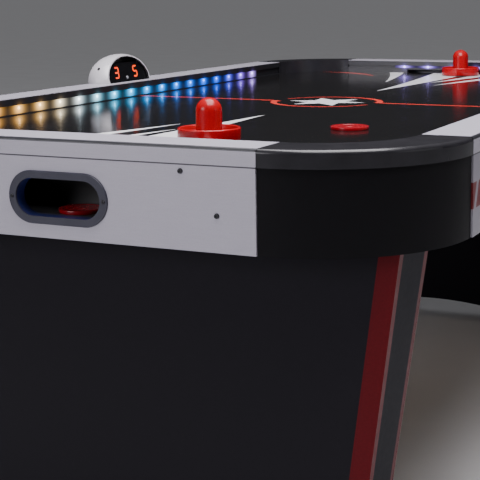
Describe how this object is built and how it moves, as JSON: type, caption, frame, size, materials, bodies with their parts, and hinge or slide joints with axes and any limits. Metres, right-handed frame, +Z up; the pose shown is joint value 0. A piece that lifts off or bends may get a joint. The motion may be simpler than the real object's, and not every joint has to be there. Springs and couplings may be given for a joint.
{
  "type": "air hockey table",
  "caption": "Air hockey table with rounded black corners, silver rails with coloured lights, a score unit, puck returns, tapered box legs, red mallets and pucks.",
  "frame": {"origin": "on the floor, under the middle of the table", "axes": "+Z up, +Y along the table from the near goal to the far one, +X across it away from the score unit"},
  "size_m": [1.237, 2.2952, 0.884],
  "materials": {
    "silver_laminate": "satin metallic laminate",
    "edge_trim": "satin",
    "cap_black": "gloss",
    "corner_black": "satin",
    "liner_black": "satin",
    "circuit_strip": "matte",
    "light_lens": "gloss",
    "field_gloss": "high gloss lacquer",
    "raw_board": "matte",
    "goal_black": "matte",
    "bezel_slate": "satin",
    "dark_fastener": "black oxide",
    "zinc_fastener": "zinc plated",
    "leg_black": "satin laminate",
    "leg_grey": "satin laminate",
    "foot_plastic": "matte",
    "mallet_red": "gloss",
    "felt": "felt",
    "puck_red": "satin",
    "score_silver": "satin",
    "display_black": "gloss",
    "digit_red": "lit",
    "button_grey": "satin",
    "blower_black": "satin",
    "motor_can": "satin",
    "rocker_black": "gloss"
  },
  "bodies": {
    "table": {"apron_front": "silver_laminate", "rail_front": "silver_laminate", "apron_back": "silver_laminate", "rail_back": "silver_laminate", "apron_left": "silver_laminate", "rail_left": "silver_laminate", "apron_right": "silver_laminate", "rail_right": "silver_laminate", "rail_edge_trims": "edge_trim", "rail_liners_ends": "liner_black", "rail_liners_sides": "liner_black", "led_strips": "circuit_strip", "led_lenses": "light_lens", "corner_cap_front_right": "cap_black", "corner_panel_front_right": "corner_black", "corner_cap_front_left": "cap_black", "corner_panel_front_left": "corner_black", "corner_cap_back_right": "cap_black", "corner_panel_back_right": "corner_black", "corner_cap_back_left": "cap_black", "corner_panel_back_left": "corner_black", "apron_bolts": "dark_fastener", "apron_nuts": "zinc_fastener", "playfield": "field_gloss", "plenum_frame": "raw_board", "plenum_floor": "raw_board", "cabinet_joists": "raw_board", "goal_boxes": "goal_black", "return_bezels": "bezel_slate", "bezel_screws": "dark_fastener", "leg_front_outer_panel": "leg_black", "leg_back_outer_panel": "leg_black", "leg_inner_panels": "leg_black", "leg_side_panels": "leg_grey", "leg_top_boards": "raw_board", "leg_foot_blocks": "raw_board", "leg_bolts": "zinc_fastener", "score_housing": "score_silver", "score_base": "liner_black", "score_display": "display_black", "score_digits": "digit_red", "score_screws": "dark_fastener", "blower_housing": "blower_black", "blower_grille": "blower_black", "blower_motor": "motor_can", "power_inlet": "blower_black"},
    "leveler_front_right": {"leveler_front_right": "foot_plastic"},
    "leveler_front_left": {"leveler_front_left": "foot_plastic"},
    "leveler_back_right": {"leveler_back_right": "foot_plastic"},
    "leveler_back_left": {"leveler_back_left": "foot_plastic"},
    "mallet_near": {"mallet_near": "mallet_red", "mallet_near_felt": "felt"},
    "mallet_far": {"mallet_far": "mallet_red", "mallet_far_felt": "felt"},
    "puck_field": {"puck_field": "puck_red"},
    "puck_return": {"puck_return": "puck_red"},
    "score_reset_button": {"score_reset_button": "button_grey"},
    "blower_impeller": {"blower_impeller": "blower_black"},
    "power_rocker": {"power_rocker": "rocker_black"}
  },
  "joints": [
    {"name": "leveler_front_right_turn", "type": "hinge", "parent": "table", "child": "leveler_front_right", "pos_m": [0.408, -0.968, 0], "axis": [0, 0, 1], "continuous": true},
    {"name": "leveler_front_left_turn", "type": "hinge", "parent": "table", "child": "leveler_front_left", "pos_m": [-0.408, -0.968, 0], "axis": [0, 0, 1], "continuous": true},
    {"name": "leveler_back_right_turn", "type": "hinge", "parent": "table", "child": "leveler_back_right", "pos_m": [0.408, 0.968, 0], "axis": [0, 0, 1], "continuous": true},
    {"name": "leveler_back_left_turn", "type": "hinge", "parent": "table", "child": "leveler_back_left", "pos_m": [-0.408, 0.968, 0], "axis": [0, 0, 1], "continuous": true},
    {"name": "mallet_near_slide", "type": "slide", "parent": "table", "child": "mallet_near", "axis": [0, 1, 0], "range_m": [-0.19, 0.725]},
    {"name": "mallet_far_slide", "type": "slide", "parent": "table", "child": "mallet_far", "axis": [0, 1, 0], "range_m": [-0.9, 0.01]},
    {"name": "puck_field_slide", "type": "slide", "parent": "table", "child": "puck_field", "axis": [0, 1, 0], "range_m": [-0.456, 1.504]},
    {"name": "puck_return_slide", "type": "slide", "parent": "table", "child": "puck_return", "axis": [0, -1, 0], "range_m": [0, 0.12]},
    {"name": "score_reset_press", "type": "slide", "parent": "table", "child": "score_reset_button", "axis": [-0.9744, 0, -0.225], "range_m": [0, 0.0012], "stiffness_N_per_m": 400},
    {"name": "blower_spin", "type": "hinge", "parent": "table", "child": "blower_impeller", "pos_m": [0, 0, 0.69], "axis": [0, 0, 1], "continuous": true},
    {"name": "power_rocker_tilt", "type": "hinge", "parent": "table", "child": "power_rocker", "pos_m": [-0.6085, 0.62, 0.72], "axis": [0, 1, 0], "range_deg": [0, 20]}
  ]
}
